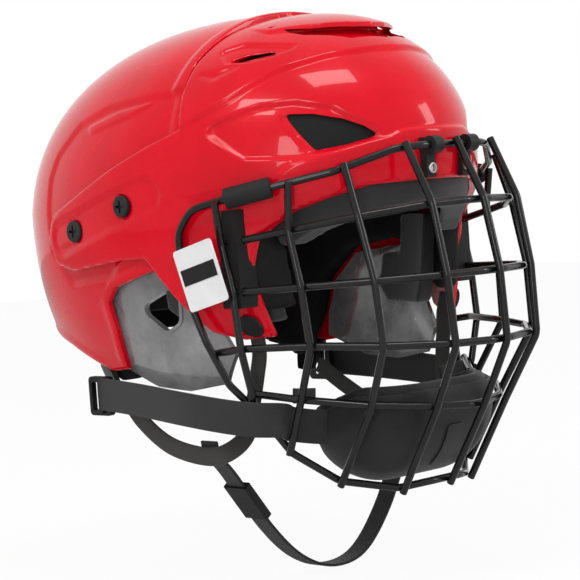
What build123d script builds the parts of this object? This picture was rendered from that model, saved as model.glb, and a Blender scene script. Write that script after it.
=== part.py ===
from build123d import *
from math import cos, pi, radians, sin, tan
import os

os.makedirs("parts", exist_ok=True)

# Ice hockey helmet with a wire cage. Millimetres. +Z is up, the face looks along -Y,
# the wearer's right is -X. The origin is the middle of the head, at the hat-size line.

# Dome: the rear shell's outer face. Every other layer is this dome grown or shrunk.
dome_half_width = 105.5
dome_front = 139.5
dome_back = 148.5
dome_height = 102.5
dome_depth = 148.0
dome_middle = 14.0
dome_cut = -108.0
dome_lean_share = -0.19
dome_round_power = 2.25
front_round_power = 1.8
back_round_power = 2.15
upper_level_shares = (0.0, 0.25, 0.47, 0.66, 0.81, 0.92, 0.98)
lower_level_shares = (1.0, 0.5)
dome_points = 20

# Layers of shell and foam
shell_wall = 3.0
slide_gap = 2.4
front_drop = 7.0
raised_rise = 1.6
hood_rise = 2.6
mouth_rise = 0.9
sunk_depth = 1.4
liner_gap = 0.3
liner_wall = 12.0
comfort_wall = 5.0
temple_pad_depth = 20.0
guard_wall = 2.5
guard_gap = 1.9
rim_rise = 1.0
edge_round = 2.0
cut_reach = 160.0

# Slide between the two shells
slide_travel = 8.0
arm_tilt = -15.9
arm_slot_middle = (23.7, -4.4)
arm_slot_length = 92.0
arm_slot_width = 17.0

# Fasteners of the sides and of the clips
screw_places = ((42.7, -10.2), (0.6, 1.7))
screw_head_radius = 6.0
screw_head_height = 2.6
screw_shaft_radius = 2.5
screw_hole_radius = 2.8
screw_seat_radius = 6.4
screw_seat_depth = 1.9
cross_width = 1.5
cross_length = 6.4
cross_depth = 1.6
nut_radius = 7.5
nut_height = 1.6
clip_screw_radius = 2.9
clip_shaft_radius = 1.6
clip_screw_z = 10.5

# Cage
wire_radius = 2.0
weld_gap = 0.06
wire_bend = 10.0
frame_bend = 14.0
bar_y = -139.0
bar_z = 22.5
clip_x = 14.0
clip_width = 7.0
clip_bore_gap = 0.08
clip_ring_radius = 4.6

# Straps, cup and tag
web_thick = 1.6
harness_width = 18.0
ear_strap_width = 10.0
chin_strap_width = 12.5
chin_strap_y = -25.0
slider_length = 24.0
slider_width = 18.0
slider_thick = 5.0
slider_gap = 0.3

# Where the side-view and plan cuts start and how their corners are rounded
window_inner = 20.0
slot_inner = 35.0
arm_inner = 60.0
slot_round = 0.8
slot_recess_round = 1.5
hood_round = 5.0
hole_start = 80.0
hole_reach = 60.0
hole_front = -100.0
shaft_gap = 0.2
thread_gap = 0.05
head_round_share = 0.4
pocket_gap = 0.6
pocket_inner = 90.0

# T-nuts behind the side screws, and the nuts of the clips
nut_gap = 0.3
nut_barrel_radius = 3.8
nut_barrel_height = 6.0
clip_nut_radius = 4.5
clip_nut_height = 1.6
clip_nut_y = -125.4
clip_head_height = 1.4
clip_cross = 3.6

# Clips on the top bar
clip_front = -136.6
clip_plate_y = -130.6
clip_plate_depth = 12.0
clip_top = 26.5
clip_foot = 5.5
clip_round = 1.5

# Pads
crown_pad_width = 96.0
crown_pad_length = 96.0
crown_pad_round = 30.0
crown_pad_y = 20.0
rim_width = 1.8
ear_hole_round = 4.0
front_liner_outline = [
    (-34, 130),
    (-34, 60),
    (-38, 40),
    (-53, 24),
    (-52, -30),
    (-56, -52),
    (-64, -58),
    (-76, -57),
    (-75, -38),
    (-74, -14),
    (-86, 2),
    (-102, 9),
    (-116, 15.6),
    (-132, 16.6),
    (-170, 15.6),
    (-170, 130),
]
brow_pad_outline = [
    (-76, -13.5),
    (-86, 1),
    (-102, 8.4),
    (-116, 13.4),
    (-132, 14.4),
    (-170, 13.4),
    (-170, -3),
    (-130, -5),
    (-118, -8),
    (-104, -12),
    (-90, -18),
    (-78, -26),
]
temple_pad_outline = [(-62, -14), (-28, -14), (-28, -37), (-9, -37), (-8, -56), (-20, -65), (-62, -65)]
temple_pad_front = [(-90, 0), (-51, 0), (-51, -90), (-90, -90)]
rear_liner_outline = [
    (-28, 130),
    (-28, 60),
    (-34, 40),
    (-43, 24),
    (-26, -8),
    (-26, -30),
    (-10, -28.5),
    (26, -33.5),
    (44, -50),
    (46, -72),
    (48, -98),
    (62, -92),
    (88, -82),
    (114, -76),
    (175, -72),
    (175, 130),
]
nape_pad_outline = [(100, -10), (100, -58), (112, -66), (170, -62), (170, -10)]
ear_guard_outline = [
    (-17, -33),
    (-5, -33.5),
    (26, -37),
    (41, -53),
    (43, -73),
    (40, -86),
    (10, -98),
    (-16, -100),
    (-42, -96),
    (-50, -80),
    (-40, -62),
    (-25, -45),
]
ear_hole_outline = [(-20, -42), (8, -54), (-10, -67), (-19, -62)]

# Cage shape, wearer's left half: frame corners, crossings from the middle out, row by row
bar_straight = 24.0
frame_points = [
    (36, -132, 21.5),
    (62, -112, 12),
    (84, -86, 6),
    (97, -65, 1.5),
    (103.5, -48, -2.5),
    (104.5, -37, -15),
    (102, -41, -52),
    (98.5, -47, -72),
    (91, -54, -95),
    (80, -66, -113),
    (70, -76, -133),
    (50, -90, -150),
    (27, -110, -156),
    (12, -119.5, -154),
    (0, -119.5, -154),
]
cross_rows = [
    [(0, -158.3, -6.3), (34, -152.7, -7.2), (61.7, -126.8, -11.1), (79, -93.6, -16), (95, -60, -21)],
    [(0, -166, -43.3), (33.9, -159.3, -43.6), (60.9, -134.7, -44.4), (79, -100, -45.5), (95, -66, -46.6)],
    [(0, -167.8, -80.4), (32.6, -161.2, -80.1), (60.1, -136.7, -78.8), (77, -102, -77.1), (94.5, -68.7, -76.5)],
    [(0, -149, -115.3), (28.2, -141.1, -114.2), (53.2, -118.6, -111.2), (71, -85.6, -106.7), (88, -68, -101)],
]
upright_tops = [(0, -137.5, 22.5), (32, -134, 22), (58, -116, 13.5), (77, -94.5, 8), (98, -63, 1)]
upright_feet = [(0, -119.5, -154), (26, -110.5, -156), (50, -90, -150), (70, -76, -132), (81, -65, -111)]
framed_levels = [2]
framed_ends = [(96, -49, -79.5)]
notched_levels = [0, 1]
foot_gaps = (0, 0, 0, 0, 0.9)
cage_middle = (0, -60, -60)
frame_steps = 400
least_bend = 0.05
bar_straight_share = 0.25
wire_end = 0.5
cross_wire_end = 3.0
sleeve_shares = (0.27, 0.333)
sleeve_radius = 5.5
bumper_y = -62.0
bumper_width = 14.0
bumper_outer = 92.0
bumper_inner = 60.0
bumper_top = -4.0
bumper_foot = -55.0
bumper_gap = 0.4

# Straps, from the rear forward, and their fittings
harness_points = [
    (-91.4, 52, -102.6),
    (-91.5, 45, -102.6),
    (-94, 15, -104.5),
    (-97, -25, -108),
    (-94.5, -50, -111),
    (-90.4, -68, -113),
    (-86.4, -75.2, -113.5),
    (-76, -77.3, -115),
    (-70.5, -77.6, -117.5),
    (-60, -82, -120),
    (-52.4, -84.7, -121.2),
]
ear_strap_points = [
    (-78, 47, -104),
    (-82, 30, -117),
    (-84, 5, -130),
    (-84, -23, -135),
    (-84, -42, -132),
    (-79, -53, -122),
    (-75.8, -56, -104),
    (-76.5, -58.5, -91),
    (-80.5, -60.5, -81.5),
]
chin_strap_points = [
    (-81.9, -127),
    (-79.5, -136),
    (-70, -146),
    (-44, -180),
    (-22, -200),
    (2, -209),
    (27, -205),
    (50, -183),
    (70, -150),
    (79.5, -136),
    (81.9, -127),
]
chin_strap_steps = 36
slider_run = 2
chin_start_way = (0.1, -1)
chin_end_way = (0.1, 1)
slider_round = 1.2
slider_window = 9.0
snap_radius = 6.0
snap_height = 2.2
snap_place = (-63, -65.5)
ear_strap_ends = [(-62.5, -72), (-63, -60)]
strap_seat = 0.1
buckle_length = 18.0
buckle_height = 22.0
buckle_thick = 3.4
buckle_inner = 86.6
buckle_y = 55.0
buckle_z = -103.6
buckle_round = 2.5
buckle_slot = 3.5
buckle_slot_y = -3.25
buckle_hole = 5.0
buckle_hole_y = 4.0
buckle_bar = 3.0
anchor_outline = [(47, -89.5), (59, -85.3), (61, -98), (58, -106), (50, -108)]

# Chin cup and its hanging straps
cup_middle = (0, -90, -113)
cup_radius = 41.0
cup_half_width = 50.0
cup_end_round = 32.0
cup_wall = 2.4
cup_gap = 0.3
cup_foam = 7.0
cup_round = 3.0
cup_outline = [(-145, -104), (-104, -105), (-72, -116), (-64, -170), (-145, -170)]
cup_liner_outline = [(-145, -101), (-104, -101), (-70, -112), (-61, -170), (-145, -170)]
mesh_z = -136.0
mesh_width = 22.0
mesh_height = 14.0
mesh_rise = 1.0
hanger_points = [(-68, -77.9, -103), (-60, -77, -104), (-50.5, -76, -105)]
hanger_width = 8.0

# Plain tag tied to the near side of the cage
tag_middle = (-105.5, -54.5, -36.5)
tag_lean = 6.0
tag_turn = 13.0
tag_width = 31.0
tag_height = 33.0
tag_thick = 0.8
tag_band_up = -1.5
tag_band_height = 8.5
tag_band_thick = 0.3


def dome_section(level, grow, drop):
    # one level outline of the dome, with its axes grown
    reach = (dome_height - drop if level >= 0 else dome_depth) + grow
    fullness = (1 - (abs(level) / reach) ** dome_round_power) ** (1 / dome_round_power)
    middle = dome_middle + (dome_lean_share * level if level > 0 else 0)
    points = []
    for index in range(dome_points):
        turn = 2 * pi * index / dome_points
        ahead = cos(turn) > 0
        power = front_round_power if ahead else back_round_power
        length = (dome_front if ahead else dome_back) + grow
        x = (dome_half_width + grow) * abs(sin(turn)) ** (2 / power)
        y = length * abs(cos(turn)) ** (2 / power)
        x = x if sin(turn) >= 0 else -x
        y = -y if ahead else y
        points.append(Vector(x * fullness, middle + y * fullness, level))
    return Wire([Edge.make_spline(points, periodic=True)])


made_domes = {}


def dome(grow, drop=0.0):
    # the whole closed dome
    if (grow, drop) not in made_domes:
        top = dome_height + grow - drop
        levels = [dome_cut * share for share in lower_level_shares]
        levels += [top * share for share in upper_level_shares]
        sections = [dome_section(level, grow, drop) for level in levels]
        sections.append(Vertex(0, dome_middle + dome_lean_share * top, top))
        made_domes[(grow, drop)] = Solid.make_loft(sections)
    return made_domes[(grow, drop)]


def front_dome(grow):
    # the front shell's dome: wider than the rear one, but lower at the crown
    return dome(grow, front_drop)


def dome_x(y, z, grow):
    # how far out the dome's side is
    reach = (dome_height if z >= 0 else dome_depth) + grow
    fullness = (1 - (abs(z) / reach) ** dome_round_power) ** (1 / dome_round_power)
    ahead = y < dome_middle
    power = front_round_power if ahead else back_round_power
    length = (dome_front if ahead else dome_back) + grow
    share = (abs(y - dome_middle) / length / fullness) ** power
    return (dome_half_width + grow) * fullness * (1 - share) ** (1 / power)


def outline_face(points, corner):
    face = make_face(Polyline(*points, close=True))
    return fillet(face.vertices(), corner) if corner > 0 else face


def side_block(face, inner=0.0, sides=(-1, 1)):
    # a side-view face (along, up) pushed through the helmet, less its middle
    blocks = []
    for side in sides:
        solid = extrude(Plane.YZ * face, side * (cut_reach - inner))
        blocks.append(Pos(side * inner, 0, 0) * solid)
    return blocks if inner > 0 or len(sides) == 1 else [blocks[0] + blocks[1]]


def side_region(points, corner, inner=0.0, sides=(-1, 1)):
    return side_block(outline_face(points, corner), inner, sides)


def top_region(points, corner):
    # a plan-view outline pushed up through the crown
    return extrude(outline_face(points, corner), cut_reach)


def mirrored(shape):
    return shape.mirror(Plane.YZ)


brow_edge = [(-73, -20), (-89, -7), (-103, -1), (-116, 4), (-132, 5), (-170, 4)]
seam_line = [(-32, 130), (-32, 90), (-30.5, 74), (-32, 58), (-36, 40)]
arm_line = [(-14, 31.5), (12, 21), (40, 9), (66, -1), (73, -14), (66, -28), (49, -32)]
ear_line = [(4, -27), (-12, -27), (-25, -46), (-35, -60), (-43, -68), (-57, -72.5)]
temple_line = [(-71, -71.5), (-68, -37)]
front_outline = seam_line + arm_line + ear_line + temple_line + brow_edge + [(-170, 130)]

rear_seam_line = [(-31, 130), (-31, 90), (-29.5, 74), (-31, 58), (-35, 38), (-50, 24)]
rear_front_line = [(-26, -6), (-24, -30)]
ear_opening_line = [(-9, -34), (20, -42), (28, -50), (27, -66), (30, -88)]
rear_edge_line = [(45, -89.8), (60, -84.5), (84, -76), (112, -70), (175, -66), (175, 130)]
rear_outline = rear_seam_line + rear_front_line + ear_opening_line + rear_edge_line

# the side of the front shell between the brow band and the raised crown panel
middle_outline = [
    (-170, 76),
    (-104, 75),
    (-92, 72),
    (-77, 66),
    (-59.5, 52),
    (-36, 39),
    (-28, 60),
    (90, 60),
    (90, -90),
    (-84, -90),
    (-84, 12),
    (-92, 18),
    (-109, 22.5),
    (-124, 28),
    (-127, 31.5),
    (-170, 33),
]
window_recess_outline = [
    (-50, 38),
    (-63, 44.5),
    (-75, 48.5),
    (-90, 49.5),
    (-105, 45.5),
    (-117, 36),
    (-123, 29.5),
    (-108, 24),
    (-94, 20.5),
    (-72, 22),
]
window_outline = [(-84.5, 43.5), (-97, 42.5), (-108, 39), (-120.5, 29.2), (-111, 25.6), (-99, 23.4)]
slot_recess_outline = [(-40, 79), (-51, 81.5), (-77, 78.5), (-70, 74), (-61, 71.8), (-49, 72)]
slot_outline = [(-49.5, 73.5), (-56, 76), (-67, 77), (-70, 76), (-54, 72.5)]
hood_outline = [(-46, -34), (-46, -56), (-31, -73), (-12, -84), (0, -87), (12, -84), (31, -73), (46, -56), (46, -34)]
mouth_outline = [
    (-46, -50),
    (-38, -74),
    (-21, -93),
    (0, -99),
    (21, -93),
    (38, -74),
    (46, -50),
    (29, -66),
    (11, -77),
    (0, -79),
    (-11, -77),
    (-29, -66),
]


def outer_block():
    return Box(2 * cut_reach, 2 * cut_reach, 2 * cut_reach)


def screw_x(place):
    # where the screw's head bears on the arm
    return dome_x(*place, slide_gap + shell_wall) - screw_seat_depth


def side_hole(place, radius, start, reach, side=-1):
    spot = Plane(origin=(side * start, place[0], place[1]), z_dir=(side, 0, 0))
    return extrude(spot * Circle(radius), reach)


def arm_slot(width, extra):
    slot = SlotCenterToCenter(arm_slot_length - arm_slot_width + extra, width)
    return Pos(arm_slot_middle[0], arm_slot_middle[1]) * Rot(0, 0, arm_tilt) * slot


def front_holes():
    # everything that goes right through the front shell
    holes = side_region(window_outline, edge_round, inner=window_inner)
    holes += side_region(slot_outline, slot_round, inner=slot_inner)
    for side in (-1, 1):
        for place in screw_places:
            holes.append(side_hole(place, screw_hole_radius, hole_start, hole_reach, side))
        holes.append(clip_hole(side, clip_shaft_radius + shaft_gap))
    return holes


def clip_hole(side, radius):
    spot = Plane(origin=(side * clip_x, hole_front, clip_screw_z), z_dir=(0, -1, 0))
    return extrude(spot * Circle(radius), hole_reach)


def front_shell():
    outer = slide_gap + shell_wall
    region = side_region(front_outline, edge_round)[0]
    for hole in front_holes():
        region = region - hole
    shell = region & front_dome(outer + raised_rise + hood_rise)
    flat = outer_block() - top_region(hood_outline, hood_round)
    shell = shell - (flat - front_dome(outer + raised_rise))
    middle_block = side_region(middle_outline, edge_round)[0]
    shell = shell - (middle_block - front_dome(outer))
    sunk = side_region(window_recess_outline, edge_round, inner=window_inner)
    sunk += side_region(slot_recess_outline, slot_recess_round, inner=slot_inner)
    sunk += side_block(arm_slot(arm_slot_width, 0), inner=arm_inner)
    for block in sunk:
        shell = shell - (block - front_dome(outer - sunk_depth))
    mouth = top_region(mouth_outline, edge_round) & front_dome(outer + raised_rise + mouth_rise)
    shell = shell - (mouth - front_dome(outer - sunk_depth))
    for side in (-1, 1):
        for place in screw_places:
            seat = side_hole(place, screw_seat_radius, screw_x(place), hole_reach, side)
            shell = shell - seat
    return shell - front_dome(slide_gap)


def slide_slot(place, radius, start, side):
    # the path of a screw through a piece that slides back past it
    slot = SlotCenterToCenter(slide_travel, 2 * radius)
    turned = Pos(place[0], place[1]) * Rot(0, 0, arm_tilt) * Pos(-slide_travel / 2, 0) * slot
    return side_block(turned, inner=start, sides=(side,))[0]


def slotted_region(points, radius, start):
    region = side_region(points, edge_round)[0]
    for side in (-1, 1):
        for place in screw_places:
            region = region - slide_slot(place, radius, start, side)
    return region


def rear_shell():
    region = slotted_region(rear_outline, screw_hole_radius, arm_inner)
    return (region & dome(0)) - dome(-shell_wall)


def pad(points, outer, wall, drop=0.0):
    # a layer of foam cut to a side-view outline
    return (side_region(points, edge_round)[0] & dome(outer, drop)) - dome(outer - wall, drop)


def front_liner():
    return pad(front_liner_outline, slide_gap - liner_gap, liner_wall, front_drop)


def brow_pad():
    made = pad(brow_pad_outline, slide_gap - liner_gap, liner_wall, front_drop)
    for side in (-1, 1):
        floor_y = clip_nut_y + clip_nut_height + pocket_gap
        spot = Plane(origin=(side * clip_x, floor_y, clip_screw_z), z_dir=(0, -1, 0))
        made = made - extrude(spot * Circle(clip_nut_radius + pocket_gap), hole_reach)
    return made


def temple_pad():
    # thick pad over the ear guard and, ahead of it, over the front liner
    region = side_region(temple_pad_outline, edge_round, inner=slot_inner, sides=(-1,))[0]
    ahead = side_region(temple_pad_front, 0, inner=slot_inner, sides=(-1,))[0]
    made = region & dome(-shell_wall - guard_gap - guard_wall - liner_gap)
    made = made - (ahead - front_dome(slide_gap - 2 * liner_gap - liner_wall))
    return made - dome(-temple_pad_depth)


def rear_liner():
    outer = -shell_wall - liner_gap
    region = slotted_region(rear_liner_outline, nut_radius + pocket_gap, pocket_inner)
    return (region & dome(outer)) - dome(outer - liner_wall)


def crown_pad():
    outer = -shell_wall - 2 * liner_gap - liner_wall
    sketch = RectangleRounded(crown_pad_width, crown_pad_length, crown_pad_round)
    region = extrude(Pos(0, crown_pad_y) * sketch, cut_reach)
    return (region & dome(outer)) - dome(outer - comfort_wall)


def nape_pad():
    return pad(nape_pad_outline, -shell_wall - 2 * liner_gap - liner_wall, comfort_wall)


def ear_guard():
    hole = outline_face(ear_hole_outline, ear_hole_round)
    rim = offset(hole, rim_width)
    flat = side_block(outline_face(ear_guard_outline, edge_round) - rim, slot_inner, (-1,))[0]
    raised = side_block(rim - hole, slot_inner, (-1,))[0]
    outer = -shell_wall - guard_gap
    made = (flat & dome(outer)) + (raised & dome(outer + rim_rise))
    return made - dome(outer - guard_wall)


def nut_x(place):
    # inside the rear shell at every place that slides over the nut
    spread = nut_radius + slide_travel
    places = [(place[0] + along, place[1] + up) for along in (-spread, 0, nut_radius) for up in (-spread, 0, spread)]
    return min(dome_x(*spot, -shell_wall) for spot in places) - nut_gap


def turned_out(shape, side, x, place):
    # a fastener drawn along its own +Z, set on the side of the helmet
    return Plane(origin=(side * x, place[0], place[1]), x_dir=(0, 1, 0), z_dir=(side, 0, 0)) * shape


def screw(head_radius, head_height, shaft_radius, shaft_length, cross):
    head = Cylinder(head_radius, head_height, align=(Align.CENTER, Align.CENTER, Align.MIN))
    head = fillet(head.edges().sort_by(Axis.Z)[-1], head_height * head_round_share)
    shaft = Cylinder(shaft_radius, shaft_length, align=(Align.CENTER, Align.CENTER, Align.MAX))
    made = head + shaft
    for turn in (0, 90):
        slot = Box(cross, cross_width, cross_depth, align=(Align.CENTER, Align.CENTER, Align.MIN))
        made = made - Pos(0, 0, head_height - cross_depth) * Rot(0, 0, turn) * slot
    return made


def side_screws():
    made = []
    for side in (-1, 1):
        for place in screw_places:
            seat = screw_x(place)
            length = seat - nut_x(place) + nut_barrel_height
            shape = screw(screw_head_radius, screw_head_height, screw_shaft_radius, length, cross_length)
            made.append(turned_out(shape, side, seat, place))
    return Compound(children=made)


def t_nut(flange, height, barrel, length, bore):
    made = Cylinder(flange, height, align=(Align.CENTER, Align.CENTER, Align.MAX))
    made += Cylinder(barrel, length, align=(Align.CENTER, Align.CENTER, Align.MAX))
    return made - Cylinder(bore, 2 * length)


def side_nuts():
    made = []
    for side in (-1, 1):
        for place in screw_places:
            bore = screw_shaft_radius + thread_gap
            shape = t_nut(nut_radius, nut_height, nut_barrel_radius, nut_barrel_height, bore)
            made.append(turned_out(shape, side, nut_x(place), place))
    return Compound(children=made)


def clip(side):
    # plate screwed to the brow, with a ring that the top bar turns in
    plate = Pos(clip_plate_y, (clip_top + clip_foot) / 2) * RectangleRounded(
        clip_plate_depth, clip_top - clip_foot, clip_round)
    ring = Pos(bar_y, bar_z) * Circle(clip_ring_radius)
    face = plate + ring - Pos(bar_y, bar_z) * Circle(wire_radius + clip_bore_gap)
    block = Pos(side * clip_x - clip_width / 2, 0, 0) * extrude(Plane.YZ * face, clip_width)
    shell_face = front_dome(slide_gap + shell_wall + raised_rise)
    return block - shell_face - clip_hole(side, clip_shaft_radius + shaft_gap)


def clip_screws():
    made = []
    for side in (-1, 1):
        spot = Plane(origin=(side * clip_x, clip_front, clip_screw_z), z_dir=(0, -1, 0))
        length = clip_nut_y + clip_nut_height - clip_front
        shape = screw(clip_screw_radius, clip_head_height, clip_shaft_radius, length, clip_cross)
        made.append(spot * shape)
    return Compound(children=made)


def clip_nuts():
    made = []
    for side in (-1, 1):
        spot = Plane(origin=(side * clip_x, clip_nut_y, clip_screw_z), z_dir=(0, -1, 0))
        nut = Cylinder(clip_nut_radius, clip_nut_height, align=(Align.CENTER, Align.CENTER, Align.MAX))
        made.append(spot * (nut - Cylinder(clip_shaft_radius + thread_gap, 4 * clip_nut_height)))
    return Compound(children=made)


def tube(path, radius):
    start = Plane(origin=path @ 0, z_dir=path % 0)
    return sweep(start * Circle(radius), path=path)


def bent_path(points, bend):
    # straight runs with a bend of one radius at every inner point
    spots = [Vector(*point) for point in points]
    edges = []
    start = spots[0]
    for before, spot, after in zip(spots, spots[1:], spots[2:]):
        way = (spot - before).normalized()
        next_way = (after - spot).normalized()
        reach = bend * tan(radians(way.get_angle(next_way)) / 2)
        if reach > least_bend:
            first = spot - way * reach
            last = spot + next_way * reach
            edges += [*Line(start, first).edges(), *TangentArc(first, last, tangent=way).edges()]
            start = last
    edges += Line(start, spots[-1]).edges()
    return Wire(edges)


def frame_path():
    # half of the cage's outer wire, from the middle of the top bar to the middle of the bottom
    return bent_path([(0, bar_y, bar_z), (bar_straight, bar_y, bar_z), *frame_points], frame_bend)


def cage_frame():
    half = tube(frame_path(), wire_radius)
    return half + mirrored(half)


def outward(point, along, across):
    # the direction square to two crossing wires, away from the face
    normal = Vector(*along).cross(Vector(*across)).normalized()
    away = Vector(*point) - Vector(*cage_middle)
    return normal if normal.dot(away) > 0 else normal * -1


def on_frame(near):
    path = frame_path()
    shares = [index / frame_steps for index in range(frame_steps + 1)]
    share = min(shares, key=lambda t: ((path @ t) - Vector(*near)).length)
    return path @ share, path % share


def upright_path(column):
    # an upright runs outside the frame and the cross wires
    points = [Vector(*row[column]) for row in cross_rows]
    weld = 2 * wire_radius + weld_gap
    top, top_along = on_frame(upright_tops[column])
    top = top + outward(top, top_along, points[0] - top) * weld
    low, low_along = on_frame(upright_feet[column])
    low = low + outward(low, low_along, low - points[-1]) * (weld + foot_gaps[column])
    top_end = top + (top - points[0]).normalized() * wire_end
    low_end = low + (low - points[-1]).normalized() * wire_end
    return bent_path([top_end, top, *points, low, low_end], wire_bend)


def cage_uprights():
    made = []
    for column in range(len(upright_tops)):
        one = tube(upright_path(column), wire_radius)
        made += [one] if column == 0 else [one, mirrored(one)]
    return Compound(children=made)


def neighbour_line(points, index):
    # the direction of a wire at one of its crossings
    before = points[max(index - 1, 0)]
    after = points[min(index + 1, len(points) - 1)]
    return Vector(*after) - Vector(*before)


def cross_path(level):
    # half of a cross wire, inside the uprights; two of them end inside the side frame
    row = cross_rows[level]
    weld = 2 * wire_radius + weld_gap
    right = []
    for column in range(len(row)):
        point = Vector(*row[column])
        along = Vector(1, 0, 0) if column == 0 else neighbour_line(row, column)
        across = neighbour_line([line[column] for line in cross_rows], level)
        right.append(point - outward(point, along, across) * weld)
    if level in framed_levels:
        spot, spot_along = on_frame(framed_ends[framed_levels.index(level)])
        end = spot - outward(spot, spot_along, spot - right[-1]) * weld
        right.append(end)
    else:
        right.append(right[-1] + (right[-1] - right[-2]).normalized() * cross_wire_end)
    middle = right[0] + Vector(bar_straight_share * right[1].X, 0, 0)
    return bent_path([right[0], middle, *right[1:]], wire_bend)


def cage_cross_wires():
    made = []
    for level in range(len(cross_rows)):
        half = tube(cross_path(level), wire_radius)
        made.append(half + mirrored(half))
    return Compound(children=made)


def corner_sleeve():
    path = frame_path().trim(*sleeve_shares)
    return mirrored(tube(path, sleeve_radius) - tube(path, wire_radius + weld_gap))


def side_bumper():
    # foam strip behind the outermost upright, notched for the wires that cross it
    block = Pos(0, bumper_y, (bumper_top + bumper_foot) / 2) * Box(
        2 * bumper_outer, bumper_width, bumper_top - bumper_foot)
    half = block - Pos(cut_reach - bumper_inner, 0, 0) * outer_block()
    for level in notched_levels:
        half = half - mirrored(tube(cross_path(level), wire_radius + bumper_gap))
    return half - front_dome(slide_gap + shell_wall + bumper_gap)


def ribbon(stations, width, thick, straight=False):
    # webbing through points, each with the direction of its width
    points = [Vector(*point) for point, across in stations]
    wires = []
    for index in range(len(stations)):
        along = points[min(index + 1, len(points) - 1)] - points[max(index - 1, 0)]
        flat = Vector(*stations[index][1])
        across = (flat - along * (flat.dot(along) / along.dot(along))).normalized()
        face = Plane(origin=points[index], x_dir=across, z_dir=along) * Rectangle(width, thick)
        wires.append(face.wires()[0])
    return Solid.make_loft(wires, straight)


def harness_strap():
    return ribbon([(point, (0, 0, 1)) for point in harness_points], harness_width, web_thick)


def shell_side(place):
    # a spot on the front shell's right side, with the direction square to it
    beam = Axis((-cut_reach, *place), (1, 0, 0))
    return front_dome(slide_gap + shell_wall).find_intersection_points(beam)[0]


def on_shell(place, lift):
    spot, normal = shell_side(place)
    return spot + normal * lift


def ear_strap():
    # its width lies square to its path in the side view; its end lies flat inside the shell
    points = [Vector(*point) for point in ear_strap_points]
    depth = shell_wall + liner_gap + web_thick / 2
    points += [on_shell(place, -depth) for place in ear_strap_ends]
    stations = []
    for index in range(len(points)):
        along = points[min(index + 1, len(points) - 1)] - points[max(index - 1, 0)]
        normal = Vector(1, 0, 0) if index < len(ear_strap_points) else shell_side(snap_place)[1] * -1
        stations.append((points[index], tuple(along.cross(normal))))
    return ribbon(stations, ear_strap_width, web_thick, straight=True)


def chin_strap_path():
    # straight where the slider sits
    first, last = chin_strap_points[slider_run], chin_strap_points[slider_run + 1]
    along = Vector(*last) - Vector(*first)
    start = Spline(*chin_strap_points[:slider_run + 1], tangents=(chin_start_way, tuple(along.normalized())))
    end = Spline(*chin_strap_points[slider_run + 1:], tangents=(tuple(along.normalized()), chin_end_way))
    return Wire([*start.edges(), *Line(first, last).edges(), *end.edges()])


def chin_strap():
    middle = chin_strap_path()
    shares = [index / chin_strap_steps for index in range(chin_strap_steps + 1)]
    sides = []
    for offset_by in (-web_thick / 2, web_thick / 2):
        points = []
        for share in shares:
            along = middle % share
            points.append((middle @ share) + Vector(-along.Y, along.X) * offset_by)
        sides.append(Spline(*points))
    ends = [Line(sides[0] @ share, sides[1] @ share) for share in (0, 1)]
    face = make_face([*sides, *ends])
    spot = Plane(origin=(0, chin_strap_y, 0), x_dir=(1, 0, 0), z_dir=(0, -1, 0))
    return extrude(spot * face, chin_strap_width / 2, both=True)


def chin_slider():
    first = Vector(*chin_strap_points[slider_run])
    last = Vector(*chin_strap_points[slider_run + 1])
    middle = (first + last) / 2
    along = last - first
    spot = Plane(origin=(middle.X, chin_strap_y, middle.Y), x_dir=(0, 1, 0), z_dir=(along.X, 0, along.Y))
    body = extrude(RectangleRounded(slider_width, slider_thick, slider_round), slider_length / 2, both=True)
    slot = Rectangle(chin_strap_width + 2 * slider_gap, web_thick + 2 * slider_gap)
    body = body - extrude(slot, slider_length, both=True)
    window = Box(slider_window, slider_thick, slider_window)
    return spot * (body - Pos(0, slider_thick / 2 + web_thick / 2 + slider_gap) * window)


def snap():
    button = Cylinder(snap_radius, snap_height, align=(Align.CENTER, Align.CENTER, Align.MIN))
    button = fillet(button.edges().sort_by(Axis.Z)[-1], snap_height * head_round_share)
    return Plane(origin=on_shell(snap_place, strap_seat), z_dir=shell_side(snap_place)[1]) * button


def buckle():
    frame = RectangleRounded(buckle_length, buckle_height, buckle_round)
    frame -= Pos(buckle_slot_y, 0) * RectangleRounded(buckle_slot, buckle_height - buckle_bar, slot_round)
    frame -= Pos(buckle_hole_y, 0) * RectangleRounded(buckle_hole, buckle_height - 2 * buckle_bar, slot_round)
    spot = Plane(origin=(-buckle_inner, buckle_y, buckle_z), x_dir=(0, 1, 0), z_dir=(-1, 0, 0))
    return extrude(spot * frame, buckle_thick)


def strap_anchor():
    region = side_region(anchor_outline, edge_round, inner=slot_inner, sides=(-1,))[0]
    return (region & dome(0)) - dome(-shell_wall)


def cup_form(shrink):
    # a drum lying across, with well rounded ends
    drum = Cylinder(cup_radius - shrink, 2 * (cup_half_width - shrink))
    return Pos(*cup_middle) * Rot(0, 90, 0) * fillet(drum.edges().filter_by(GeomType.CIRCLE), cup_end_round - shrink)


def chin_cup():
    return (side_region(cup_outline, cup_round)[0] & cup_form(0)) - cup_form(cup_wall)


def cup_liner():
    region = side_region(cup_liner_outline, cup_round)[0]
    return (region & cup_form(cup_wall + cup_gap)) - cup_form(cup_wall + cup_gap + cup_foam)


def cup_mesh():
    spot = Plane(origin=(0, cup_middle[1], mesh_z), z_dir=(0, -1, 0))
    region = extrude(spot * RectangleRounded(mesh_width, mesh_height, edge_round), hole_reach)
    return (region & cup_form(-mesh_rise)) - cup_form(0)


def cup_hanger():
    return ribbon([(point, (0, 0, 1)) for point in hanger_points], hanger_width, web_thick)


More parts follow.
